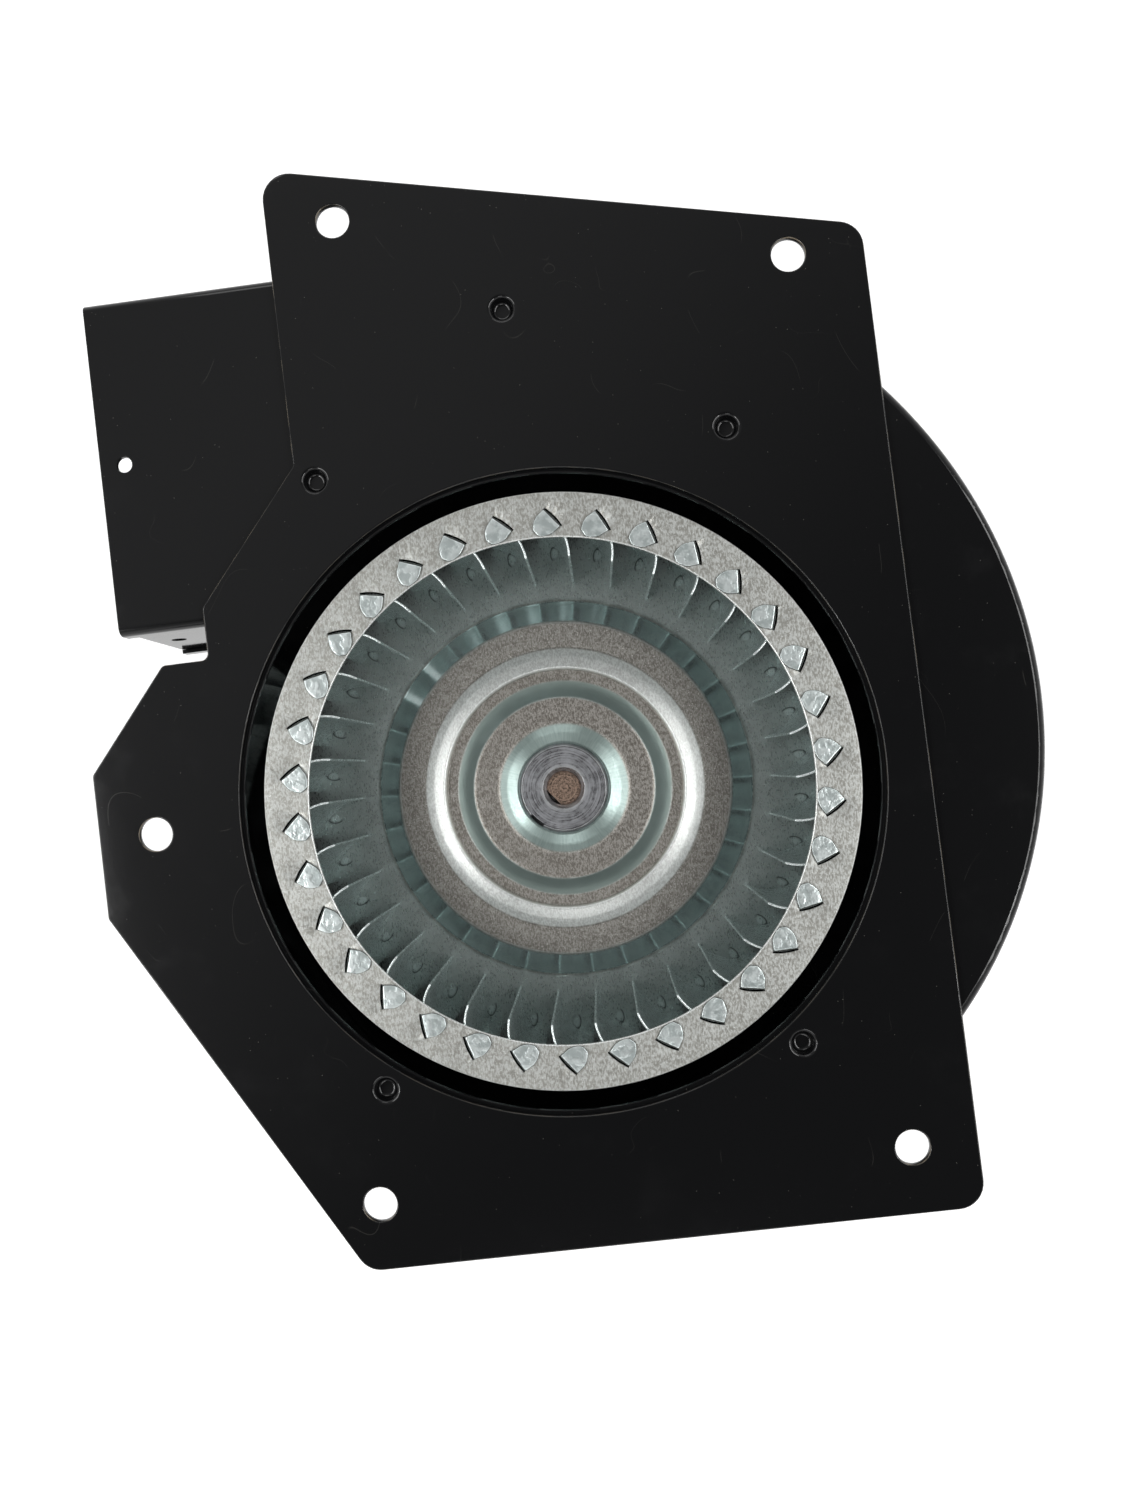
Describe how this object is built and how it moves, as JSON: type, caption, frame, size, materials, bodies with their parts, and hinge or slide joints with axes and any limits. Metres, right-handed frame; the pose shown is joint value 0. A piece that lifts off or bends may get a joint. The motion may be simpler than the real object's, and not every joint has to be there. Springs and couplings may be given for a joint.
{
  "type": "draft inducer blower",
  "caption": "Single-inlet draft inducer blower: scroll housing on a flat mounting plate, forward-curved wheel, rectangular side outlet, and a motor on rubber mounts behind.",
  "frame": {"origin": "on the shaft axis, on the front face of the mounting plate", "axes": "+Z along the shaft, out of the inlet; -X out of the outlet duct; +Y towards the side of the plate that the duct is on"},
  "size_m": [0.2008, 0.2329, 0.1248],
  "materials": {
    "black_paint": "gloss black paint on sheet steel",
    "galvanised": "galvanised sheet steel, dull spangle",
    "hub_steel": "turned steel, plated",
    "shaft_steel": "ground steel, slightly tarnished",
    "zinc_plate": "zinc plated",
    "bell_paint": "satin black paint",
    "lamination": "stacked electrical steel",
    "copper": "enamelled copper",
    "bronze": "sintered bronze",
    "cast_aluminium": "die cast",
    "nylon": "natural nylon",
    "fan_plastic": "moulded black plastic",
    "rubber": "black rubber",
    "felt": "oiled felt"
  },
  "bodies": {
    "housing": {"mounting_plate": "black_paint", "housing_front_panel": "black_paint", "scroll_wrap": "black_paint", "duct_side_wall": "black_paint", "housing_rear_panel": "black_paint", "shaft_seal": "rubber", "seal_retainer": "galvanised", "motor_bracket": "galvanised", "bracket_grommets": "rubber", "grommet_sleeves": "zinc_plate", "bracket_studs": "zinc_plate", "bracket_stud_nuts": "zinc_plate", "motor_front_bell": "bell_paint", "motor_rear_bell": "bell_paint", "through_bolts": "zinc_plate", "through_bolt_nuts": "zinc_plate", "lead_bushing": "nylon", "front_bearing": "bronze", "rear_bearing": "bronze", "oil_wicks": "felt", "front_bearing_cap": "zinc_plate", "rear_bearing_cap": "zinc_plate", "stator_core": "lamination", "coil_bobbins": "nylon", "stator_coils": "copper", "shading_rings": "copper"},
    "rotor": {"impeller_end_ring": "galvanised", "impeller_blades": "galvanised", "impeller_back_plate": "galvanised", "impeller_hub": "hub_steel", "hub_set_screw": "zinc_plate", "motor_shaft": "shaft_steel", "cooling_fan": "fan_plastic", "rotor_core": "lamination", "rotor_cage": "cast_aluminium", "rotor_spacers": "zinc_plate", "thrust_washers": "nylon"}
  },
  "joints": [
    {"name": "wheel_spin", "type": "hinge", "parent": "housing", "child": "rotor", "pos_m": [0, 0, 0], "axis": [0, 0, 1], "continuous": true}
  ]
}
